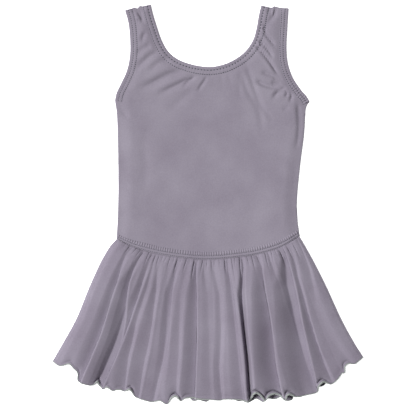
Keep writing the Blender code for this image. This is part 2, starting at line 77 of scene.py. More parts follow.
neckEdge = [(-71.5, 247.1), (-68.2, 233.7), (-63.2, 217.6), (-57.8, 202.4), (-49.8, 188.5),
            (-37.7, 178.8), (-19.8, 172.2), (0.6, 169.3), (17.4, 171.7), (32.2, 177.9),
            (45.9, 188.0), (55.8, 201.9), (60.6, 217.6), (63.2, 232.5), (66.3, 245.9)]
neckLowest = 7              # which of its points lies lowest
armEdge = {
    "left": [(-102.7, 239.9), (-98.2, 222.6), (-96.3, 200.3), (-96.7, 182.9),
             (-100.2, 165.5), (-107.3, 149.4), (-113.0, 137.5), (-115.3, 127.7)],
    "right": [(99.7, 242.4), (98.2, 217.6), (97.1, 195.3), (98.5, 175.5),
              (104.2, 157.5), (114.1, 142.0), (121.6, 133.2), (125.6, 126.5)],
}
shoulderEdge = {
    "left": [(-71.5, 247.1), (-80.6, 246.1), (-87.7, 242.0), (-95.5, 242.3), (-102.7, 239.9)],
    "right": [(66.3, 245.9), (74.4, 244.9), (80.6, 245.9), (91.8, 243.7), (99.7, 242.4)],
}
sideEdge = {
    "left": [(-115.3, 127.7), (-112.8, 106.0), (-111.5, 53.9), (-111.4, 4.3), (-113.3, -43.5)],
    "right": [(125.6, 126.5), (121.3, 117.2), (119.0, 84.9), (114.3, 47.7),
              (110.3, 4.3), (111.0, -20.5), (113.5, -40.3)],
}
waistSeam = [(-113.3, -43.5), (-91.0, -54.3), (-66.0, -61.4), (-36.0, -66.6), (0.6, -69.3),
             (41.5, -65.8), (66.5, -61.4), (91.5, -53.4), (113.5, -40.3)]
waistLowest = 4
skirtLeft = [(-113.3, -43.5), (-122.3, -54.3), (-132.7, -72.5), (-146.3, -102.3),
             (-162.4, -142.0), (-178.6, -171.7), (-192.2, -195.3)]
skirtRight = [(113.5, -40.3), (120.9, -53.3), (131.4, -72.5), (146.3, -102.3),
              (164.4, -142.0), (180.4, -171.7), (192.2, -190.3)]
hemEdge = [(-192.2, -195.3), (-168.6, -201.5), (-156.2, -216.9), (-133.9, -226.3), (-109.1, -231.0),
           (-86.8, -238.2), (-59.5, -242.7), (0.0, -242.7), (64.5, -242.7), (101.7, -239.0),
           (132.7, -232.5), (157.5, -218.9), (166.8, -208.9), (177.1, -197.5), (192.2, -190.3)]
curveSteps = 14             # points on an outline between two named ones


def smoothLine(points):
    p = np.array(points, float)
    p = np.vstack([2 * p[0] - p[1], p, 2 * p[-1] - p[-2]])
    f = np.linspace(0, 1, curveSteps, endpoint=False)[:, None]
    spans = []
    for a, b, c, d in zip(p, p[1:], p[2:], p[3:]):
        bend = (2 * a - 5 * b + 4 * c - d) + f * (3 * b - a - 3 * c + d)
        spans.append(b + 0.5 * f * ((c - a) + f * bend))
    return np.vstack(spans + [p[-2:-1]])


def lengths(line):
    return np.r_[0, np.cumsum(np.linalg.norm(np.diff(line, axis=0), axis=1))]


def along(line, share):     # the points at these shares of a line's length
    far = lengths(line)
    return np.stack([np.interp(np.asarray(share) * far[-1], far, line[:, axis])
                     for axis in range(line.shape[1])], axis=-1)


def ease(share):            # 0 to 1 with a soft start and a soft stop
    share = np.clip(share, 0.0, 1.0)
    return share * share * (3 - 2 * share)


def mixed(a, b, share):
    return a + np.asarray(share)[..., None] * (b - a)


def pick(test, a, b):
    return np.where(np.asarray(test)[..., None], a, b)


def nearest(points, targets):   # distance to the nearest target, and which it is
    flat = points.reshape(-1, 2)
    far, which = np.empty(len(flat)), np.empty(len(flat), int)
    for start in range(0, len(flat), 4000):
        part = flat[start:start + 4000]
        apart = ((part[:, None] - targets[None]) ** 2).sum(-1)
        which[start:start + 4000] = apart.argmin(1)
        far[start:start + 4000] = np.sqrt(apart.min(1))
    return far.reshape(points.shape[:-1]), which.reshape(points.shape[:-1])


neckLine = smoothLine(neckEdge)
waistLine = smoothLine(waistSeam)
armLine = {side: smoothLine(armEdge[side]) for side in armEdge}
shoulderLine = {side: smoothLine(shoulderEdge[side]) for side in armEdge}
sideLine = {side: smoothLine(sideEdge[side]) for side in armEdge}
skirtLeftLine, skirtRightLine, hemLine = (smoothLine(edge) for edge in (skirtLeft, skirtRight, hemEdge))
neckLow = lengths(neckLine)[neckLowest * curveSteps] / lengths(neckLine)[-1]
waistMiddle = waistLowest * curveSteps
halfWaist = {"left": waistLine[:waistMiddle + 1][::-1], "right": waistLine[waistMiddle:]}
bodiceEdges = np.vstack([neckLine] + [line[side] for side in armEdge
                                      for line in (armLine, shoulderLine, sideLine)])
seamEdges = np.vstack([line[side] for side in armEdge for line in (shoulderLine, sideLine)])


# Making meshes from grids

def gridMesh(columns, rows, placeAt):
    # A grid whose corners go where placeAt(u, v) says, with the cloth's own coordinates as its UV map
    bm = bmesh.new()
    bmesh.ops.create_grid(bm, x_segments=columns, y_segments=rows, size=0.5)
    mesh = bpy.data.meshes.new("grid")
    bm.to_mesh(mesh)
    bm.free()
    place = np.empty(3 * len(mesh.vertices))
    mesh.vertices.foreach_get("co", place)
    u, v = place.reshape(-1, 3)[:, 0] + 0.5, place.reshape(-1, 3)[:, 1] + 0.5
    points, cloth = placeAt(np.clip(u, 0, 1), np.clip(v, 0, 1))
    points = points - np.array([0, layers["middleY"], 0])
    mesh.vertices.foreach_set("co", (points * mm).ravel())
    corner = np.empty(len(mesh.loops), int)
    mesh.loops.foreach_get("vertex_index", corner)
    mesh.uv_layers.new(name="cloth").data.foreach_set("uv", (cloth * mm)[corner].ravel())
    mesh.update()
    return mesh


def addPiece(name, meshes, material, replaced=(), wall=None, upward=True, join=0.02):
    # Joins grids into one piece on the root body, which may take the place of CAD nodes
    bm = bmesh.new()
    for part in meshes:
        bm.from_mesh(part)
        bpy.data.meshes.remove(part)
    bmesh.ops.remove_doubles(bm, verts=bm.verts, dist=join * mm)
    bmesh.ops.recalc_face_normals(bm, faces=bm.faces)
    if upward and sum(face.normal.z * face.calc_area() for face in bm.faces) < 0:
        bmesh.ops.reverse_faces(bm, faces=bm.faces)
    mesh = bpy.data.meshes.new(name)
    bm.to_mesh(mesh)
    bm.free()
    mesh.shade_smooth()
    mesh.materials.append(material)
    piece = bpy.data.objects.new(name, mesh)
    bpy.context.scene.collection.objects.link(piece)
    if wall:
        shell = piece.modifiers.new("wall", "SOLIDIFY")
        shell.thickness = abs(wall) * mm
        shell.offset = 1.0 if wall > 0 else -1.0
        shell.use_rim = True
    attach(piece, "root")
    if replaced:
        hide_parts(*replaced)
    return piece


def ruffle(points, size, seed):         # soft noise at a place, for wrinkles of this size
    flat = points.reshape(-1, points.shape[-1])
    values = [noise.noise(Vector((p[0] / size, p[1] / size, seed))) for p in flat]
    return np.array(values).reshape(points.shape[:-1])


# Materials

def linear(code):           # an sRGB hex colour as the linear numbers a shader takes
    parts = [int(code[i:i + 2], 16) / 255 for i in (1, 3, 5)]
    return [c / 12.92 if c <= 0.04045 else ((c + 0.055) / 1.055) ** 2.4 for c in parts] + [1.0]


def addNode(tree, kind, settings=None, inputs=None):
    node = tree.nodes.new("ShaderNode" + kind)
    for name, value in (settings or {}).items():
        setattr(node, name, value)
    for name, value in (inputs or {}).items():
        if isinstance(value, bpy.types.NodeSocket):
            tree.links.new(value, node.inputs[name])
        else:
            node.inputs[name].default_value = value
    return node


jersey = {
    "cloth": "#89838f",
    "shadow": "#79727f",    # the darker fibres of the marl
    "skirtCloth": "#88828f",
    "skirtShadow": "#79717f",
    "waleWidth": 0.9,       # mm from one column of loops to the next, half as coarse again as real
    "courseHeight": 1.1,
    "fuzzSize": 1.6,
    "cloudSize": 45.0,      # mm across the broad, faint unevenness of the dye
    "roughness": 0.86,
    "sheen": 0.04,
}


def jerseyMaterial(name, colour, shadow):
    # Cotton and elastane single jersey: matt, with fine columns of loops and a faint marl
    material = bpy.data.materials.new(name)
    material.use_nodes = True
    tree = material.node_tree
    shader = tree.nodes["Principled BSDF"]
    shader.inputs["Roughness"].default_value = jersey["roughness"]
    shader.inputs["Sheen Weight"].default_value = jersey["sheen"]
    shader.inputs["Sheen Roughness"].default_value = 0.6
    shader.inputs["Specular IOR Level"].default_value = 0.25
    place = addNode(tree, "TexCoord")
    cloth = addNode(tree, "UVMap", {"uv_map": "cloth"})
    marl = addNode(tree, "TexNoise", None,
                   {"Vector": place.outputs["Object"], "Scale": 1 / (jersey["fuzzSize"] * mm),
                    "Detail": 3.0, "Roughness": 0.6})
    cloud = addNode(tree, "TexNoise", None,
                    {"Vector": place.outputs["Object"], "Scale": 1 / (jersey["cloudSize"] * mm),
                     "Detail": 2.0, "Roughness": 0.5})
    blend = addNode(tree, "Math", {"operation": "MULTIPLY_ADD"},
                    {0: marl.outputs["Fac"], 1: 0.75, 2: cloud.outputs["Fac"]})
    share = addNode(tree, "MapRange", None, {"Value": blend.outputs[0], "From Min": 0.55, "From Max": 1.2})
    colours = addNode(tree, "Mix", {"data_type": "RGBA"}, {"Factor": share.outputs[0]})
    colours.inputs[6].default_value = linear(shadow)
    colours.inputs[7].default_value = linear(colour)
    tree.links.new(colours.outputs[2], shader.inputs["Base Color"])
    wales = addNode(tree, "TexWave", {"wave_type": "BANDS", "bands_direction": "X"},
                    {"Vector": cloth.outputs[0], "Scale": math.pi / 10 / (jersey["waleWidth"] * mm),
                     "Distortion": 0.6, "Detail": 1.0, "Detail Scale": 1.0})
    courses = addNode(tree, "TexWave", {"wave_type": "BANDS", "bands_direction": "Y"},
                      {"Vector": cloth.outputs[0], "Scale": math.pi / 10 / (jersey["courseHeight"] * mm),
                       "Distortion": 0.6, "Detail": 1.0, "Detail Scale": 1.0})
    loops = addNode(tree, "Math", {"operation": "MULTIPLY_ADD"},
                    {0: courses.outputs["Fac"], 1: 0.4, 2: wales.outputs["Fac"]})
    knit = addNode(tree, "Bump", None,
                   {"Height": loops.outputs[0], "Strength": 0.35, "Distance": 0.08 * mm})
    fuzz = addNode(tree, "Bump", None,
                   {"Height": marl.outputs["Fac"], "Normal": knit.outputs[0],
                    "Strength": 0.5, "Distance": 0.25 * mm})
    tree.links.new(fuzz.outputs[0], shader.inputs["Normal"])
    return material


thread = {
    # partly painted shade: the seam thread's colour is darkened to stand for the shade in the dips where the
    # stitches pull into the turned edges
    "stitch": "#434750",
    "hem": "#8f9491",
    "twist": 0.45,          # mm from one turn of the yarn to the next
    "toneSize": 2.2,        # mm across a lighter or darker stretch of it
    "roughness": 0.7,
}


def threadMaterial(name, colour):
    # Spun polyester sewing thread: a little smoother than the cloth, with a fine twist across it
    material = bpy.data.materials.new(name)
    material.use_nodes = True
    tree = material.node_tree
    shader = tree.nodes["Principled BSDF"]
    shader.inputs["Roughness"].default_value = thread["roughness"]
    shader.inputs["Sheen Weight"].default_value = 0.1
    place = addNode(tree, "TexCoord")
    tone = addNode(tree, "TexNoise", None,
                   {"Vector": place.outputs["Object"], "Scale": 1 / (thread["toneSize"] * mm), "Detail": 2.0})
    shade = addNode(tree, "MapRange", None,
                    {"Value": tone.outputs["Fac"], "From Min": 0.3, "From Max": 0.7,
                     "To Min": 0.88, "To Max": 1.08})
    colours = addNode(tree, "Mix", {"data_type": "RGBA", "blend_type": "MULTIPLY"}, {"Factor": 1.0})
    colours.inputs[6].default_value = linear(colour)
    tree.links.new(shade.outputs[0], colours.inputs[7])
    tree.links.new(colours.outputs[2], shader.inputs["Base Color"])
    twist = addNode(tree, "TexWave", {"wave_type": "BANDS", "bands_direction": "DIAGONAL"},
                    {"Vector": place.outputs["Object"], "Scale": math.pi / 10 / (thread["twist"] * mm)})
    bump = addNode(tree, "Bump", None,
                   {"Height": twist.outputs["Fac"], "Strength": 0.4, "Distance": 0.08 * mm})
    tree.links.new(bump.outputs[0], shader.inputs["Normal"])
    return material


bodiceCloth = jerseyMaterial("cotton elastane jersey, bodice", jersey["cloth"], jersey["shadow"])
skirtCloth = jerseyMaterial("cotton elastane jersey, skirt", jersey["skirtCloth"], jersey["skirtShadow"])
bandCloth = jerseyMaterial("cotton elastane jersey, turned edge", jersey["cloth"], jersey["shadow"])
# the seams' thread, darkened as painted shade along the stitch rows
stitchThreadAndShade = threadMaterial("spun polyester thread, seams, darkened as painted shade", thread["stitch"])
hemThread = threadMaterial("textured nylon thread, hem", thread["hem"])
print("materials made")


# Bodice

bodice = {
    "neckBand": 10.0,       # widths of the turned and stitched edges
    "armBand": 9.0,
    "bandColumns": 0.10,    # share of the grid's columns over a band, at each side of a strap
    "loft": 2.4,            # air under the front, away from its edges
    "loftReach": 18.0,
    "waistStack": 3.8,      # underside of the front at the waist, over the brief
    "waistRise": 34.0,
    "edgeRoll": 2.2,        # how far in from a seam the cloth turns down to the back
    "edgeDrop": 0.9,        # and how far down
    "creaseDepth": 2.9,     # times the depths of the creases below
    "creaseAir": 0.8,       # the air under the front from which they have their full depth
    "wrinkles": [(38, 1.0, 0.35), (13, 2.0, 0.12)],     # size, seed and depth of the soft unevenness
    "backLevel": 0.25,      # underside of the back
    "backWall": 0.75,
    "columns": 80,
    "rows": 104,
}

# Creases of the front: the points that each runs through, half its width, its depth, and how high
# its lip stands, which is on the right as the points go
creases = [
    ([(-88.0, 241.0), (-82.5, 231.0), (-79.5, 222.0)], 2.4, 0.75, 0.4),
    ([(-88.0, 227.5), (-81.0, 225.0)], 2.4, 0.55, 0.0),
    ([(-78.0, 213.0), (-83.0, 199.5)], 2.8, 0.6, 0.1),
    ([(-70.0, 197.0), (-80.0, 192.0), (-90.0, 184.0)], 3.4, 0.55, 0.1),
    ([(-60.0, 187.5), (-70.0, 184.0), (-82.0, 174.0), (-92.0, 164.0)], 3.8, 0.75, 0.1),
    ([(-44.0, 180.0), (-60.0, 175.0), (-76.0, 163.0)], 3.6, 0.5, 0.1),
    ([(-28.0, 164.0), (-47.0, 160.0), (-67.0, 150.0), (-90.0, 141.0)], 4.6, 0.95, 0.15),
    ([(-13.5, 158.0), (-38.0, 147.0), (-67.0, 133.0)], 3.4, 0.8, 0.15),
    ([(-17.0, 157.0), (-33.0, 143.0)], 1.8, 0.6, 0.2),
    ([(-1.0, 156.5), (-13.5, 139.0)], 1.8, 0.6, 0.15),
    ([(-16.0, 142.0), (-53.0, 113.0)], 5.0, 0.28, 0.0),
    ([(84.5, 243.5), (82.0, 231.0)], 1.6, 0.9, 0.4),
    ([(84.0, 238.0), (78.0, 228.0), (72.0, 224.0)], 3.0, 0.55, 0.0),
    ([(65.0, 226.0), (70.0, 222.0), (78.0, 217.0)], 2.0, 0.45, 0.15),
    ([(68.0, 218.0), (73.5, 213.5)], 1.5, 1.0, 0.3),
    ([(69.5, 212.0), (76.0, 204.0), (84.5, 195.0)], 1.9, 1.05, 0.4),
    ([(63.5, 203.0), (73.0, 192.0), (82.0, 180.0)], 2.1, 1.35, 0.45),
    ([(59.0, 196.0), (68.0, 187.0), (77.0, 175.0), (85.0, 163.0), (91.0, 156.5)], 2.0, 1.15, 0.35),
    ([(66.0, 163.0), (78.0, 159.5), (92.0, 154.0)], 2.6, 0.7, 0.1),
    ([(80.0, 153.2), (94.0, 152.6)], 1.5, 0.6, 0.15),
    ([(78.0, 149.5), (94.0, 147.6)], 1.6, 0.9, 0.2),
    ([(58.0, 153.0), (72.0, 146.5), (86.0, 144.0), (97.0, 144.5)], 3.0, 0.9, 0.15),
    ([(97.0, 144.0), (86.0, 137.0), (79.0, 128.0)], 2.6, 0.8, 0.15),
    ([(103.5, 137.0), (103.0, 131.0), (101.0, 125.0)], 1.7, 1.0, 0.3),
    ([(99.0, 139.5), (96.0, 131.0)], 1.8, 0.8, 0.2),
    ([(46.0, 178.0), (54.0, 153.0), (66.0, 122.0), (78.0, 107.0), (80.0, 97.0)], 3.4, 0.42, 0.15),
    ([(42.0, 169.0), (48.0, 144.0), (64.0, 113.0), (67.0, 85.0)], 3.8, 0.40, 0.1),
    ([(38.5, 165.0), (40.0, 128.0)], 3.0, 0.2, 0.0),
    ([(16.0, 159.0), (18.0, 148.0)], 2.0, 0.15, 0.0),
    ([(25.0, 160.0), (29.0, 146.0)], 2.0, 0.15, 0.0),
    ([(110.5, 126.0), (113.5, 105.0), (113.0, 85.0), (108.5, 66.0)], 2.8, 0.7, 0.2),
    ([(92.0, 116.0), (101.5, 119.5)], 2.6, 0.35, 0.0),
    ([(-113.0, 117.0), (-106.0, 113.0), (-97.0, 105.0)], 2.8, 0.4, 0.0),
    ([(-80.0, 90.0), (-77.0, 40.0), (-80.0, 5.0)], 7.0, 0.25, 0.0),
]


def insetPoint(line, share, inset, turn):   # this far off a line, to its left for a turn of 1
    ahead = along(line, np.minimum(share + 0.02, 1)) - along(line, np.maximum(share - 0.02, 0))
    ahead /= np.linalg.norm(ahead, axis=-1, keepdims=True)
    left = np.stack([-ahead[..., 1], ahead[..., 0]], axis=-1)
    return along(line, share) + turn * np.asarray(inset)[..., None] * left


def neckPoint(side, share, inset):          # share runs from the shoulder to the lowest point
    whole = share * neckLow if side == "left" else 1 - share * (1 - neckLow)
    return insetPoint(neckLine, whole, inset, -1)


def armPoint(side, share, inset):           # share runs from the shoulder to the underarm
    return insetPoint(armLine[side], share, inset, 1 if side == "left" else -1)


def upperPoint(side, u, share):             # u runs from the neck's edge to the armhole's
    zone = bodice["bandColumns"]
    u, share = np.broadcast_arrays(np.asarray(u, float), np.asarray(share, float))
    across = np.clip((u - zone) / (1 - 2 * zone), 0, 1)
    inner = neckPoint(side, share, 0 * share + bodice["neckBand"])
    outer = armPoint(side, share, 0 * share + bodice["armBand"])
    line = shoulderLine[side]
    bow = along(line, across) - mixed(line[0], line[-1], across)
    middle = mixed(inner, outer, across) + (1 - share)[..., None] * bow
    nearNeck = neckPoint(side, share, bodice["neckBand"] * np.clip(u / zone, 0, 1))
    nearArm = armPoint(side, share, bodice["armBand"] * np.clip((1 - u) / zone, 0, 1))
    return pick(u < zone, nearNeck, pick(u > 1 - zone, nearArm, middle))


def torsoPoint(side, u, down):              # u runs from the centre to the side, below neck and underarm
    zone = bodice["bandColumns"]
    top = upperPoint(side, zone + (1 - zone) * u, 0 * u + 1.0)
    centre = np.array([neckPoint(side, np.array(1.0), np.array(bodice["neckBand"])), halfWaist[side][0]])
    underarm = sideLine[side][0]
    across = (top[..., 0] - centre[0][0]) / (underarm[0] - centre[0][0])
    bottom = along(halfWaist[side], across)
    corners = mixed(mixed(centre[0], centre[1], down), mixed(underarm, sideLine[side][-1], down), across)
    edges = mixed(along(centre, down), along(sideLine[side], down), across)
    return mixed(top, bottom, down) + edges - corners


def waistY(x):
    return np.interp(x, waistLine[:, 0], waistLine[:, 1])


def creaseRelief(points, rows):             # negative in a crease, positive on its lip
    relief = np.zeros(points.shape[:-1])
    for crease, halfWidth, cut, lip in rows:
        line = smoothLine(crease)
        close = ((points > line.min(0) - 5 * halfWidth) & (points < line.max(0) + 5 * halfWidth)).all(-1)
        if not close.any():
            continue
        off, which = nearest(points[close], line)
        share = lengths(line)[which] / lengths(line)[-1]
        ahead = np.gradient(line, axis=0)[which]
        away = points[close] - line[which]
        side = np.sign(away[:, 0] * ahead[:, 1] - away[:, 1] * ahead[:, 0])
        fade = ease(share / 0.25 + 0.15) * ease((1 - share) / 0.45 + 0.1)
        off = off / halfWidth
        relief[close] -= cut * fade * np.exp(-off ** 2)
        relief[close] += lip * fade * np.exp(-(off - 1.7) ** 2) * (side > 0)
    return bodice["creaseDepth"] * relief


def bodiceLevel(points):                    # underside of the front
    inside = nearest(points, bodiceEdges)[0]
    loft = bodice["loft"] * ease(inside / bodice["loftReach"])
    seam = (bodice["waistStack"] - layers["rest"]) * ease(inside / (0.8 * bodice["loftReach"]))
    nearWaist = ease(1 - (points[..., 1] - waistY(points[..., 0])) / bodice["waistRise"])
    return layers["rest"] + (1 - nearWaist) * loft + nearWaist * seam


def frontLevel(points):                     # and with its creases, and turned down at its seams
    level = bodiceLevel(points)
    held = ease((level - layers["rest"]) / bodice["creaseAir"])
    level = level + held * creaseRelief(points, creases)
    level += held * sum(depth * ruffle(points, size, seed) for size, seed, depth in bodice["wrinkles"])
    air = level - layers["rest"]
    level = layers["rest"] - 0.1 + 0.5 * (air + np.sqrt(air ** 2 + 0.04))     # the back holds it up
    out = 1 - nearest(points, seamEdges)[0] / bodice["edgeRoll"]
    return level - bodice["edgeDrop"] * (1 - np.sqrt(1 - np.clip(out, 0, 1) ** 2))


def bodiceGrids(level):
    grids = []
    for side in armEdge:
        def upper(u, v):
            plan = upperPoint(side, u, v)
            return np.c_[plan, level(plan)], plan

        def torso(u, v):
            plan = torsoPoint(side, u, v)
            return np.c_[plan, level(plan)], plan

        zone = bodice["bandColumns"]
        grids.append(gridMesh(bodice["columns"], bodice["rows"] // 2, upper))
        grids.append(gridMesh(round(bodice["columns"] * (1 - zone)), bodice["rows"], torso))
    return grids


def addBodice():
    front = addPiece("bodiceFront", bodiceGrids(frontLevel), bodiceCloth, ["bodice_front"], layers["cloth"])
    back = addPiece("bodiceBack", bodiceGrids(lambda plan: 0 * plan[..., 0] + bodice["backLevel"]),
                    bodiceCloth, ["bodice_back"], bodice["backWall"])
    return front, back


bodiceFront, bodiceBack = addBodice()
print("bodice made")


# Bands: the turned edges, as a section across each from its edge inward

bandSection = {
    # inset from the edge and height over the cloth under it; neck and arm begin under the edge
    "neck": [(1.2, -0.9), (-0.1, -0.75), (-0.45, -0.25), (-0.25, 0.35), (0.6, 0.85), (1.8, 1.0), (2.9, 0.85),
             (3.7, 0.45), (4.5, 0.8), (6.4, 1.05), (8.3, 0.7), (9.3, 0.3), (10.0, 0.1), (10.6, -0.2)],
    "arm": [(1.2, -0.9), (-0.1, -0.75), (-0.45, -0.25), (-0.25, 0.3), (0.6, 0.6), (1.8, 0.7), (2.9, 0.62),
            (3.8, 0.45), (4.7, 0.62), (6.0, 0.65), (7.2, 0.4), (8.0, 0.22), (8.8, 0.08), (9.4, -0.2)],
    "waist": [(-0.5, -0.1), (0.0, 0.1), (0.5, 0.2), (1.0, 0.3), (1.8, 0.7), (2.7, 0.85), (3.6, 0.6),
              (4.3, 0.3), (5.0, 0.7), (6.0, 1.1), (7.0, 1.1), (8.0, 0.8), (8.9, 0.3), (9.5, -0.1),
              (9.9, -0.25)],
}

bandPuckers = {
    # pitch, depth, the insets between which they lie, and how many times their depth they gain at the far end
    "neck": (3.7, 0.07, 0.5, 9.5, 0),
    "left": (3.4, 0.06, 0.5, 8.5, 0),
    "right": (3.4, 0.08, 0.5, 8.5, 4),
    "waist": (3.1, 0.42, 4.4, 9.8, 0),
}

band = {
    "wall": 0.35,           # thickness, down from the section
    "columns": {"neck": 420, "arm": 200, "waist": 420},
    "rows": 40,
}


def bandGrid(kind, edgeAt, length, puckerAt):
    # edgeAt(share, inset) is a point in from the edge, and puckerAt(share, inset) lifts it
    inset, height = np.array(bandSection[kind], float).T
    steps = np.linspace(0, 1, len(inset))

    def place(u, v):
        away = np.interp(v, steps, inset)
        plan = edgeAt(u, away)
        z = frontLevel(edgeAt(u, np.maximum(away, 0.3))) + layers["cloth"] + np.interp(v, steps, height)
        return np.c_[plan, z + puckerAt(u, away)], np.c_[u * length, away]
    return gridMesh(band["columns"][kind], band["rows"], place)


def pucker(length, pitch, depth, start, end, tight):
    # Small uneven ripples across a band
    def lift(u, away):
        phase = 2 * np.pi * u * length / pitch + 1.3 * np.sin(7 * u * length / 60)
        swing = (1 + tight * ease((u - 0.7) / 0.12)) * np.sin(phase)
        return depth * swing * ease((away - start) / 0.8) * ease((end - away) / 0.8)
    return lift


def neckAt(share, inset):
    return insetPoint(neckLine, share, inset, -1)


def armAt(side):
    return lambda share, inset: armPoint(side, share, inset)


def waistAt(share, inset):      # the turning is narrower where it meets the side seams
    width = 1 - 0.4 * ease(1 - share / 0.16) - 0.2 * ease((share - 0.86) / 0.14)
    return insetPoint(waistLine, share, inset * width, 1)


def addBand(name, kind, edgeAt, line, ripples, node):
    length = lengths(line)[-1]
    grid = bandGrid(kind, edgeAt, length, pucker(length, *bandPuckers[ripples]))
    return addPiece(name, [grid], bandCloth, [node], -band["wall"])


def addBands():
    made = {"neck": addBand("neckBand", "neck", neckAt, neckLine, "neck", "neck_band")}
    for side in armEdge:
        made[side] = addBand("armBand" + side.title(), "arm", armAt(side), armLine[side], side,
                             "armhole_band_" + side)
    made["waist"] = addBand("waistBand", "waist", waistAt, waistLine, "waist", "waist_band")
    return made


bands = addBands()
print("bands made")


# Skirt

skirt = {
    "drop": 0.6,            # from the bodice's lower edge to the skirt's upper one
    "atWaist": 4.0,         # underside at the waist seam
    "overBrief": 4.1,       # the lowest that it hangs over the brief
    "beyondBrief": 2.6,     # and beyond it
    "briefReach": 45.0,     # how far the one blends into the other
    "sideShare": 0.035,     # share of its width over which it comes down at each side
    "waveReach": 0.12,      # share of the drop over which the hem's waves die away, going up
    "standReach": 0.02,     # and over which its upturned edge does
    "hemSettle": 0.15,      # share of its height that the cloth loses towards the hem
    "foldDepth": 1.85,      # times the falls of the slopes below
    "slowReturn": 2.6,      # percent of the width by which a shallow fold comes up later
    "tuck": 1.0,            # how far, in millimetres, a fold's foot runs in under the next ridge
    "tuckDepth": 5.0,       # depth of a fold whose foot runs in two thirds of that
    "nickDepth": 1.5,       # times the depths of the small gathers below
    "waistReach": 0.15,     # share of the drop over which it leaves the waist seam's height
    "backFolds": 18,        # low folds of the back
    "backRise": 0.9,        # their height
    "backHemRise": 0.3,     # and so much more at the hem
    "knitWidth": 420,       # of the cloth, as the knit is drawn on it
    "knitLength": 200,
    "columns": 540,
    "rows": 82,
    "backColumns": 300,
    "backRows": 90,
}
drops = (0.08, 0.25, 0.5, 0.75, 1)      # from waist to hem

# How high the cloth stands between its slopes: percent of the width, and height at the hem
loftAt = [(0, 0.4), (1, 4.2), (2.5, 6.6), (6, 8.2), (11, 11.2), (13, 11.2), (17, 8.4), (30, 5.8),
          (45, 8.4), (52, 6.4), (60, 9.4), (64, 15.0), (74, 17.6), (82, 14.2), (88, 7.8), (92, 5.0),
          (96, 4.0), (99, 2.4), (100, 0.4)]

# And its share of that height on the way down from the waist
loftGrowth = [(0, 0.04), (0.03, 0.30), (0.08, 0.46), (0.25, 0.68), (0.5, 0.88), (0.75, 0.97),
              (0.9, 1.0), (1, 0.92)]

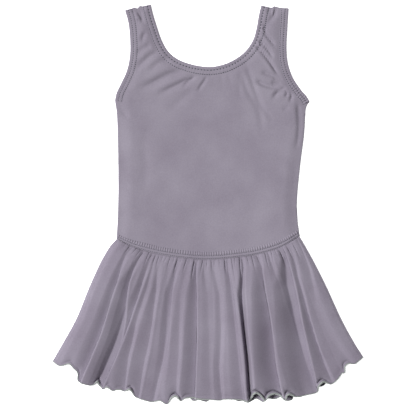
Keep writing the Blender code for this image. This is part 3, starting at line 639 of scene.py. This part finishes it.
# The long slopes that face away to the right. Each starts, bottoms out and has come back up at these
# percents of the width, at the five drops, and falls so far there, in millimetres.
slopes = [
    ((7.2, 6.4, 5.8, 5.6, 6.0), (8.8, 9.4, 9.7, 9.8, 10.4), (9.6, 10.4, 10.6, 10.8, 11.0),
     (0.8, 2.6, 3.5, 3.7, 3.4)),
    ((13.6, 10.9, 10.7, 11.0, 11.3), (15.3, 13.9, 16.0, 17.2, 16.7), (16.1, 15.6, 18.0, 18.7, 17.6),
     (0.7, 2.7, 4.1, 4.8, 5.2)),
    ((18.6, 18.0, 15.4, 14.2, 14.3), (20.6, 20.4, 19.0, 17.3, 16.7), (21.4, 21.2, 19.8, 18.5, 17.6),
     (0.7, 1.7, 1.9, 2.5, 3.0)),
    ((21.8, 21.6, 19.0, 18.5, 19.8), (23.0, 23.2, 21.4, 21.3, 23.4), (23.8, 24.0, 22.6, 23.0, 24.6),
     (0.6, 0.7, 1.3, 1.7, 2.2)),
    ((24.0, 24.8, 24.0, 22.6, 25.4), (25.4, 27.0, 27.2, 26.6, 28.2), (26.4, 28.0, 28.6, 28.6, 29.2),
     (0.5, 1.1, 1.6, 1.5, 1.9)),
    ((29.6, 28.8, 29.0, 29.0, 29.4), (31.0, 31.0, 32.0, 33.0, 32.6), (31.8, 34.4, 34.6, 34.4, 33.6),
     (0.3, 0.6, 1.0, 1.5, 1.5)),
    ((33.0, 31.0, 31.2, 31.8, 32.0), (34.6, 33.7, 34.2, 34.1, 33.2), (35.4, 34.8, 35.3, 35.0, 34.4),
     (1.0, 2.2, 2.0, 1.0, 0.3)),
    ((37.6, 36.4, 35.6, 35.0, 36.6), (39.4, 38.0, 38.0, 38.2, 39.4), (40.4, 39.6, 39.6, 39.8, 40.4),
     (0.5, 0.3, 1.2, 1.2, 1.8)),
    ((42.2, 40.4, 39.8, 40.2, 40.8), (44.0, 44.0, 44.6, 45.0, 45.4), (44.7, 45.6, 45.8, 45.8, 45.9),
     (1.7, 2.9, 3.6, 4.1, 3.9)),
    ((46.6, 47.4, 47.4, 47.2, 47.2), (48.0, 49.4, 49.6, 49.6, 49.8), (49.0, 50.4, 50.6, 50.6, 51.0),
     (0.6, 0.3, 0.5, 0.6, 0.6)),
    ((51.2, 53.0, 52.2, 51.2, 51.6), (52.8, 54.8, 54.4, 53.2, 53.6), (54.0, 55.6, 55.2, 54.2, 54.4),
     (0.5, 0.7, 1.1, 1.5, 1.7)),
    ((57.9, 57.6, 57.2, 56.6, 56.6), (59.7, 60.6, 60.6, 60.6, 60.4), (60.4, 61.4, 61.4, 61.2, 61.0),
     (1.1, 1.9, 2.0, 2.5, 3.0)),
    ((65.7, 62.4, 62.3, 62.1, 61.3), (67.4, 64.3, 63.2, 62.9, 62.1), (68.3, 66.6, 65.3, 64.8, 64.0),
     (1.4, 4.2, 5.8, 6.1, 6.0)),
    ((71.8, 68.6, 66.2, 65.1, 64.2), (75.8, 74.2, 73.3, 72.0, 71.5), (76.6, 75.2, 74.2, 72.8, 72.2),
     (1.3, 4.6, 7.4, 8.5, 7.9)),
    ((85.8, 78.4, 75.3, 73.3, 72.3), (88.9, 86.9, 84.8, 83.4, 82.0), (89.8, 88.3, 85.9, 84.5, 83.1),
     (2.4, 6.2, 7.8, 8.3, 7.8)),
    ((79.2, 77.6, 75.0, 74.0, 72.2), (81.0, 80.6, 79.0, 77.0, 75.4), (81.8, 81.6, 80.0, 79.0, 80.0),
     (0.9, 0.4, 0.0, 0.0, 1.0)),
    ((90.8, 87.6, 85.2, 83.9, 83.2), (92.6, 90.0, 88.4, 87.8, 86.8), (93.4, 90.8, 89.2, 88.6, 88.0),
     (0.7, 1.2, 1.8, 2.0, 1.2)),
    ((93.6, 92.6, 90.0, 90.0, 93.2), (96.8, 96.0, 92.4, 92.8, 95.6), (97.8, 97.0, 94.0, 94.4, 96.4),
     (1.3, 1.2, 0.3, 0.3, 0.7)),
]

# Small gathers at the waist seam: percent along it, half its width, its depth, the drop at which it
# has died away and how far it has leaned to the right by then
nicks = [
    (3.0, 0.5, 0.3, 0.05, -0.4), (5.6, 0.5, 0.3, 0.06, -0.3), (8.0, 0.6, 0.7, 0.10, -0.3),
    (9.8, 0.5, 0.4, 0.07, -0.8), (11.6, 0.5, 0.6, 0.10, -1.0), (13.9, 0.5, 0.6, 0.10, -0.6),
    (15.9, 0.5, 0.7, 0.12, -0.8), (18.6, 0.5, 0.7, 0.12, 0.6), (20.5, 0.4, 0.6, 0.09, -0.5),
    (22.3, 0.5, 1.1, 0.10, 0.5), (24.2, 0.5, 0.8, 0.12, 0.7), (26.2, 0.5, 0.5, 0.07, 0.3),
    (28.2, 0.5, 0.5, 0.08, -0.6), (30.0, 0.5, 0.6, 0.12, 0.2), (32.0, 0.5, 0.5, 0.06, 0.4),
    (34.1, 0.5, 1.4, 0.14, -0.6), (36.0, 0.4, 0.6, 0.09, -0.5), (38.6, 0.5, 0.8, 0.12, -0.7),
    (40.4, 0.4, 0.4, 0.06, 0.2), (42.7, 0.5, 2.2, 0.16, -0.4), (44.6, 0.4, 0.5, 0.07, 0.6),
    (47.1, 0.6, 0.9, 0.13, -0.8), (49.1, 0.4, 0.7, 0.09, 0.4), (51.4, 0.6, 0.7, 0.09, 0.7),
    (53.4, 0.4, 0.4, 0.06, -0.3), (55.6, 0.4, 0.5, 0.08, 0.3), (58.4, 0.5, 1.6, 0.12, 0.2),
    (60.4, 0.4, 0.4, 0.07, 0.6), (62.0, 0.4, 0.7, 0.20, 1.0), (63.8, 0.4, 0.5, 0.08, -0.4),
    (66.2, 0.5, 1.8, 0.18, -1.0), (68.4, 0.4, 0.4, 0.06, 0.2), (70.2, 0.4, 0.6, 0.08, 0.3),
    (72.6, 0.5, 0.8, 0.12, 0.2), (75.2, 0.5, 0.7, 0.10, 0.8), (77.4, 0.4, 0.6, 0.08, -0.6),
    (79.8, 0.5, 0.9, 0.14, -0.8), (81.2, 0.4, 0.5, 0.07, 0.5), (83.1, 0.5, 0.7, 0.12, -0.9),
    (85.2, 0.4, 0.4, 0.06, 0.2), (87.6, 0.6, 1.2, 0.16, -0.6), (89.4, 0.4, 0.5, 0.08, 0.5),
    (91.6, 0.5, 0.9, 0.14, 0.3), (93.6, 0.4, 0.5, 0.08, 0.4), (95.3, 0.6, 1.0, 0.16, -0.5),
    (97.4, 0.5, 0.5, 0.08, 0.0),
]

# Waves of the rolled hems: how far along the skirt's width in percent, how far out from the hem's
# own line, and how far the edge stands up there.
frontHem = [
    (0.0, 0.0, 0.0), (2.7, 3.4, 0.0), (4.8, -2.0, 0.8), (6.7, 0.0, 0.3), (8.7, -0.7, 0.6),
    (9.8, 5.2, 0.4), (11.6, 3.8, 0.0), (13.3, 2.8, 0.0), (14.5, 0.6, 0.6), (15.3, -5.0, 2.6),
    (16.2, -1.0, 1.2), (17.8, 1.9, 0.0), (18.8, -1.7, 0.8), (20.7, 1.9, 0.0), (21.7, 0.0, 0.4),
    (22.9, -1.0, 0.6), (24.1, -0.4, 0.3), (25.4, -5.2, 2.0), (26.4, -3.6, 1.2), (27.8, 1.8, 0.0),
    (30.8, 2.8, 0.2), (32.9, 3.4, 0.0), (35.2, 0.6, 0.6), (37.4, 4.8, 0.0), (38.4, -2.6, 1.8),
    (39.6, -5.4, 2.6), (40.7, -2.8, 2.0), (41.5, 0.6, 0.4), (42.6, -2.5, 0.8), (44.2, -3.0, 1.0),
    (46.9, -1.6, 0.6), (50.8, -0.3, 0.2), (53.1, 0.4, 0.0), (54.8, -1.3, 0.4), (58.1, -1.0, 0.4),
    (60.9, 0.6, 0.4), (61.9, 0.0, 1.2), (62.6, -4.0, 2.4), (63.4, -8.2, 3.2), (64.4, -10.2, 3.6),
    (65.4, -8.0, 3.2), (66.1, -3.6, 2.4), (66.7, 0.0, 1.4), (67.6, -4.4, 2.2), (68.6, -6.4, 2.6),
    (69.8, -7.0, 2.8), (70.9, -5.2, 2.4), (71.9, -1.4, 1.8), (72.6, 1.6, 0.8), (73.2, -2.8, 1.8),
    (74.1, -4.6, 2.2), (75.1, -2.6, 1.6), (76.0, 0.5, 0.4), (79.1, 0.9, 0.0), (82.2, 1.5, 0.0),
    (83.1, -4.2, 1.2), (84.5, -7.4, 2.2), (85.7, -6.6, 1.8), (86.8, -1.0, 0.6), (87.8, 0.8, 0.0),
    (91.6, -0.5, 0.2), (92.7, 1.6, 0.4), (93.6, -3.0, 1.0), (95.2, -2.0, 0.8), (96.7, 3.0, 0.0),
    (98.2, 2.0, 0.0), (100.0, 0.0, 0.0),
]
backHem = [
    (0.0, 0.0, 0.0), (4.0, -1.5, 0.0), (7.0, -5.0, 0.3), (10.5, -1.5, 0.0), (14.0, -6.0, 0.3),
    (17.5, -2.5, 0.0), (20.0, -5.0, 0.3), (23.0, -3.5, 0.0), (25.5, -7.0, 0.3), (28.5, -2.0, 0.0),
    (30.7, 3.8, 0.2), (32.3, -1.0, 0.0), (35.5, -4.0, 0.3), (38.0, -1.0, 0.0), (40.5, -7.0, 0.3),
    (44.0, -3.0, 0.0), (45.2, 1.6, 0.0), (47.0, 0.4, 0.4), (49.2, 2.6, 0.0), (50.6, -3.0, 0.3),
    (54.0, -4.5, 0.0), (57.0, -2.5, 0.2), (58.6, 1.8, 0.2), (59.9, 1.0, 0.4), (61.4, 3.6, 0.1),
    (63.0, 0.4, 0.2), (64.2, -1.2, 0.3), (65.1, 0.6, 0.2), (66.1, 3.2, 0.0), (67.3, -0.8, 0.3),
    (70.0, 0.4, 0.2), (71.6, -1.0, 0.3), (72.6, 4.2, 0.0), (74.4, 4.4, 0.2), (75.6, -1.0, 0.3),
    (77.3, 2.6, 0.0), (79.0, -4.0, 0.3), (82.0, -6.0, 0.0), (84.6, -2.4, 0.2), (86.4, -4.0, 0.3),
    (90.0, -7.0, 0.0), (93.0, -6.0, 0.3), (96.5, -3.0, 0.0), (100.0, 0.0, 0.0),
]
hemTurns = {"front": smoothLine(frontHem), "back": smoothLine(backHem)}


brief = {
    "inset": 12.0,          # the brief's side seam, in from the bodice's
    "depth": 122.0,         # waist seam to crotch
    "sideDepth": 40.0,      # waist seam to the top of the leg opening
    "crotchHalf": 27.0,
    "frontTop": 0.6,        # upper edges, down from the waist seam
    "backTop": -4.0,
    "frontLevel": 3.15,     # undersides
    "backLevel": 1.4,
    "backRise": 0.85,       # how much higher the back lies over the skirt's back
    "backClimb": 15.0,      # and over what length it comes up to there
    "margin": 20.0,         # how far below its edges the skirt still lies at full height
    "grid": 60,
}


def briefHalfWidth(depth):
    side = 0.5 * (waistSeam[-1][0] - waistSeam[0][0]) - brief["inset"]
    share = np.clip((depth - brief["sideDepth"]) / (brief["depth"] - brief["sideDepth"]), 0, 1)
    return brief["crotchHalf"] + (side - brief["crotchHalf"]) * (1 - np.sin(0.5 * np.pi * share))


def skirtPlan(u, v):        # u runs from left to right, v from waist to hem
    left, right = along(skirtLeftLine, v), along(skirtRightLine, v)
    top, bottom = along(waistLine, u), along(hemLine, u)
    corners = mixed(mixed(waistLine[0], hemLine[0], v), mixed(waistLine[-1], hemLine[-1], v), u)
    plan = mixed(left, right, u) + mixed(top, bottom, v) - corners
    plan[..., 1] -= (1 - v) * skirt["drop"]
    return plan


def hemPoint(which, u, v):  # the plan with the hem's waves, and how far the edge stands up
    table = hemTurns[which]
    out, stands = (np.interp(100 * u, table[:, 0], table[:, column]) for column in (1, 2))
    fall = skirtPlan(u, 0 * v + 1.0) - skirtPlan(u, 0 * v + 0.9)
    fall /= np.linalg.norm(fall, axis=-1, keepdims=True)
    plan = skirtPlan(u, v) + (out * ease((v - 1 + skirt["waveReach"]) / skirt["waveReach"]))[..., None] * fall
    rise = ease((v - 1 + skirt["standReach"]) / skirt["standReach"])
    dip = ease((v - 1 + 2.2 * skirt["standReach"]) / (1.4 * skirt["standReach"])) * (1 - rise)
    return plan, stands * rise - 0.9 * stands * dip


def skirtFloor(plan):       # the lowest that the front may hang: over the brief, or beyond its edge
    depth = waistY(plan[..., 0]) - plan[..., 1]
    beside = np.abs(plan[..., 0] - waistSeam[waistLowest][0]) - briefHalfWidth(depth - brief["margin"])
    below = depth - brief["depth"] - brief["margin"]
    fall = ease(np.maximum(beside, below) / skirt["briefReach"])
    return skirt["overBrief"] + (skirt["beyondBrief"] - skirt["overBrief"]) * fall


def atDrops(values, v):
    return np.interp(v, drops, values)


def slopesBelow(u, v):      # how far the folds and gathers lie below the loft
    below = 0 * u
    for starts, bottoms, ends, falls in slopes:
        start, bottom, end, fall = (atDrops(row, v) for row in (starts, bottoms, ends, falls))
        broad = np.clip(0.4 * (bottom - start) - 0.6, 0, 0.6)   # these run on to the next ridge's foot
        turn = bottom + (end - bottom) * broad
        down = (100 * u - start) / (turn - start)
        down = 0.5 * (ease(down) + np.clip(down, 0, 1))     # long and even, with a soft start and stop
        back = end + skirt["slowReturn"] * np.clip(1 - 0.5 * fall, 0, 1)
        up = ease((back - 100 * u) / (back - turn))
        below += skirt["foldDepth"] * fall * np.minimum(down, up)
    for at, half, depth, reach, lean in nicks:
        off = np.abs(100 * u - at - lean * v / reach) / (half * (0.45 + 0.55 * v / reach))
        below += skirt["nickDepth"] * depth * np.exp(-off ** 1.5) * ease(1 - v / reach) ** 0.7
    return below


def frontHeight(u, v):
    loft = np.interp(100 * u, *np.array(loftAt, float).T) * np.interp(v, *np.array(loftGrowth, float).T)
    height = (loft - slopesBelow(u, v)) * (1 - skirt["hemSettle"] * ease((v - 0.93) / 0.07))
    return 0.5 * (height + np.sqrt(height ** 2 + 0.3))     # never below the layer under it, with a soft stop


def knitPlace(u, v):        # where a point lies on the cloth, for the knit
    return np.c_[u * skirt["knitWidth"], v * skirt["knitLength"]]


def frontSkirtPoint(u, v):
    side = ease(np.minimum(u, 1 - u) / skirt["sideShare"])
    floor = skirtFloor(skirtPlan(u, v))
    floor = skirt["atWaist"] + (floor - skirt["atWaist"]) * ease(v / skirt["waistReach"])
    level = layers["rest"] + side * (floor - layers["rest"])
    plan, stands = hemPoint("front", u, v)
    under = skirt["tuck"] * (1 - np.exp(-slopesBelow(u, v) / skirt["tuckDepth"]))
    under = under * side * ease(v / skirt["waistReach"])
    plan = plan + np.c_[under, 0 * under]       # each fold's foot runs in under the next ridge
    return np.c_[plan, level + frontHeight(u, v) + stands], knitPlace(u, v)


def backSkirtPoint(u, v):
    phase = skirt["backFolds"] * u + 0.35 * np.sin(9 * u) + 0.2 * np.sin(23 * u)
    pinch = np.maximum(0, np.cos(2 * np.pi * phase)) ** 2 * ease(np.minimum(u, 1 - u) / 0.04)
    rise = skirt["backRise"] * ease((v - 0.04) / 0.3) + skirt["backHemRise"] * ease((v - 0.7) / 0.3)
    plan, stands = hemPoint("back", u, v)
    return np.c_[plan, 0.1 + np.maximum(np.maximum(pinch * rise, stands), 0)], knitPlace(u, v)


def denser(v):              # more rows near the waist and near the hem
    return np.interp(v, (0, 0.16, 0.66, 1), (0, 0.09, 0.84, 1))


def addSkirt():
    frontGrid = gridMesh(skirt["columns"], skirt["rows"], lambda u, v: frontSkirtPoint(u, denser(v)))
    front = addPiece("skirtFront", [frontGrid], skirtCloth, ["skirt_front"], layers["cloth"])
    backGrid = gridMesh(skirt["backColumns"], skirt["backRows"], lambda u, v: backSkirtPoint(u, denser(v)))
    back = addPiece("skirtBack", [backGrid], skirtCloth, ["skirt_back"], layers["cloth"])
    return front, back


skirtFront, skirtBack = addSkirt()
print("skirt made")


# Brief, under the skirt

def briefGrid(level, top):
    def place(u, v):
        depth = top + v * (brief["depth"] - top)
        x = waistSeam[waistLowest][0] + (2 * u - 1) * briefHalfWidth(depth)
        plan = np.c_[x, waistY(x) - depth]
        return np.c_[plan, level(depth)], plan
    return gridMesh(brief["grid"], brief["grid"], place)


def addBrief():
    frontGrid = briefGrid(lambda depth: 0 * depth + brief["frontLevel"], brief["frontTop"])
    front = addPiece("briefFront", [frontGrid], bodiceCloth, ["brief_front"], layers["cloth"])
    backGrid = briefGrid(lambda depth: brief["backLevel"]
                         + brief["backRise"] * ease(depth / brief["backClimb"]), brief["backTop"])
    back = addPiece("briefBack", [backGrid], bodiceCloth, ["brief_back"], layers["cloth"])
    return front, back


briefFront, briefBack = addBrief()
print("brief made")


# Stitches, as short lengths of thread lying along each row

stitches = {
    # inset from the edge, length of a stitch, its pitch, half its width and its height over the band
    "neck": [(4.0, 2.2, 3.7, 0.72, 0.3), (9.4, 1.5, 2.5, 0.66, 0.3)],
    "arm": [(3.9, 1.5, 2.6, 0.58, 0.25), (8.0, 1.4, 2.4, 0.58, 0.25)],
    "waist": [(0.9, 1.3, 2.3, 0.46, 0.25), (4.3, 1.3, 2.3, 0.46, 0.25)],
}


def stitchMesh(kind, edgeAt, length):
    inset, height = np.array(bandSection[kind], float).T
    bm = bmesh.new()
    for row, size, pitch, half, over in stitches[kind]:
        count = int(length / pitch)
        shares = (np.arange(count) + 0.5) / count
        away = np.full(count, row)
        spots = edgeAt(shares, away)
        ahead = edgeAt(np.minimum(shares + 0.002, 1), away) - edgeAt(np.maximum(shares - 0.002, 0), away)
        level = frontLevel(spots) + layers["cloth"] + np.interp(row, inset[2:], height[2:]) + over
        for (x, y), (dx, dy), z in zip(spots, ahead, level):
            turn = Matrix.Rotation(math.atan2(dy, dx), 4, "Z")
            shape = Matrix.Diagonal((0.5 * size, half, 0.7 * half, 1)) * mm
            shape[3][3] = 1
            place = Matrix.Translation(Vector((x, y - layers["middleY"], z)) * mm)
            bmesh.ops.create_icosphere(bm, subdivisions=1, radius=1, matrix=place @ turn @ shape)
    mesh = bpy.data.meshes.new("stitches")
    bm.to_mesh(mesh)
    bm.free()
    return mesh


def addRows(name, kind, edgeAt, line):
    return addPiece(name, [stitchMesh(kind, edgeAt, lengths(line)[-1])], stitchThreadAndShade, join=0.001)


def addStitches():
    made = {"neck": addRows("neckStitches", "neck", neckAt, neckLine)}
    for side in armEdge:
        made[side] = addRows("armStitches" + side.title(), "arm", armAt(side), armLine[side])
    made["waist"] = addRows("waistStitches", "waist", waistAt, waistLine)
    return made


seams = addStitches()
print("stitches made")


# Thread rolled round the hems

hemRoll = {
    "half": 0.65,           # half the width of the thread's roll, where the hem lies flat
    "more": 0.55,           # and so much more where it turns up towards the eye
    "high": 0.85,           # its height, as a share of its width
    "wrap": 1.3,            # mm from one wrap of thread to the next
    "ripple": 0.14,         # how much each wrap swells, as a share of the width
    "out": 0.5,             # how far it stands outside the cloth's edge
    "length": {"front": 480, "back": 440},      # of each hem, for the wraps
    "columns": {"front": 2200, "back": 1800},
}


def hemTube(which, skirtPoint):
    table, length = hemTurns[which], hemRoll["length"][which]

    def pointAt(u):
        return skirtPoint(u, 0 * u + 1.0)[0]

    def place(u, v):
        edge = pointAt(u)
        ahead = pointAt(np.minimum(u + 0.0008, 1)) - pointAt(np.maximum(u - 0.0008, 0))
        ahead /= np.linalg.norm(ahead, axis=-1, keepdims=True)
        out = np.c_[ahead[:, 1], -ahead[:, 0], 0 * u]
        out /= np.linalg.norm(out, axis=-1, keepdims=True)
        turn = 2 * np.pi * v
        upturned = ease(np.interp(100 * u, table[:, 0], table[:, 2]) / 2)
        half = hemRoll["half"] + hemRoll["more"] * upturned
        half *= 1 + hemRoll["ripple"] * np.sin(2 * np.pi * u * length / hemRoll["wrap"] + turn)
        side = (half * np.cos(turn) + hemRoll["out"])[:, None] * out
        top = (hemRoll["high"] * half * np.sin(turn) + 0.5 * layers["cloth"])[:, None] * np.cross(out, ahead)
        spot = edge + side + top
        spot[:, 2] = np.maximum(spot[:, 2], 0.02)   # the ground presses it flat
        return spot, np.c_[u * length, v * 4]
    return gridMesh(hemRoll["columns"][which], 8, place)


def addHem(which, skirtPoint):
    return addPiece("hemThread" + which.title(), [hemTube(which, skirtPoint)], hemThread, upward=False)


hemFront, hemBack = addHem("front", frontSkirtPoint), addHem("back", backSkirtPoint)
print("hem thread made")


# Floor and light

studio = {
    "floor": "#f7f7f8",
    "floorSize": 3.0,       # half the floor's width, in metres
    "floorDrop": 0.1,       # how far it lies under the cloth, in millimetres
    "glow": 0.9,            # light that the floor gives off, as a light table does
    "floorRoughness": 0.9,
    "world": 0.11,          # strengths of the light all round and of the soft box
    "key": 4.7,
    "keyFrom": (-1.0, 0.25, 1.45),      # from the left, a little towards the shoulders, 55 degrees up
    "keySpread": 24.0,      # degrees across the soft box, as the cloth sees it
}


def addStudio():
    bm = bmesh.new()
    bmesh.ops.create_grid(bm, x_segments=1, y_segments=1, size=studio["floorSize"])
    mesh = bpy.data.meshes.new("floor")
    bm.to_mesh(mesh)
    bm.free()
    floor = bpy.data.objects.new("studioFloor", mesh)
    floor.location.z = -studio["floorDrop"] * mm
    bpy.context.scene.collection.objects.link(floor)
    paper = bpy.data.materials.new("white paper sweep")
    paper.use_nodes = True
    shader = paper.node_tree.nodes["Principled BSDF"]
    shader.inputs["Base Color"].default_value = linear(studio["floor"])
    shader.inputs["Roughness"].default_value = studio["floorRoughness"]
    shader.inputs["Emission Color"].default_value = (1, 1, 1, 1)
    shader.inputs["Emission Strength"].default_value = studio["glow"]
    mesh.materials.append(paper)
    data = bpy.data.lights.new("soft box", "SUN")
    data.energy = studio["key"]
    data.angle = math.radians(studio["keySpread"])
    box = bpy.data.objects.new("soft box", data)
    box.rotation_euler = (-Vector(studio["keyFrom"])).to_track_quat("-Z", "Y").to_euler()
    bpy.context.scene.collection.objects.link(box)
    world = bpy.data.worlds.new("studio")
    world.use_nodes = True
    world.node_tree.nodes["Background"].inputs["Color"].default_value = (1, 1, 1, 1)
    world.node_tree.nodes["Background"].inputs["Strength"].default_value = studio["world"]
    bpy.context.scene.world = world
    bpy.context.scene.view_settings.view_transform = "Standard"


addStudio()
print("studio lit")
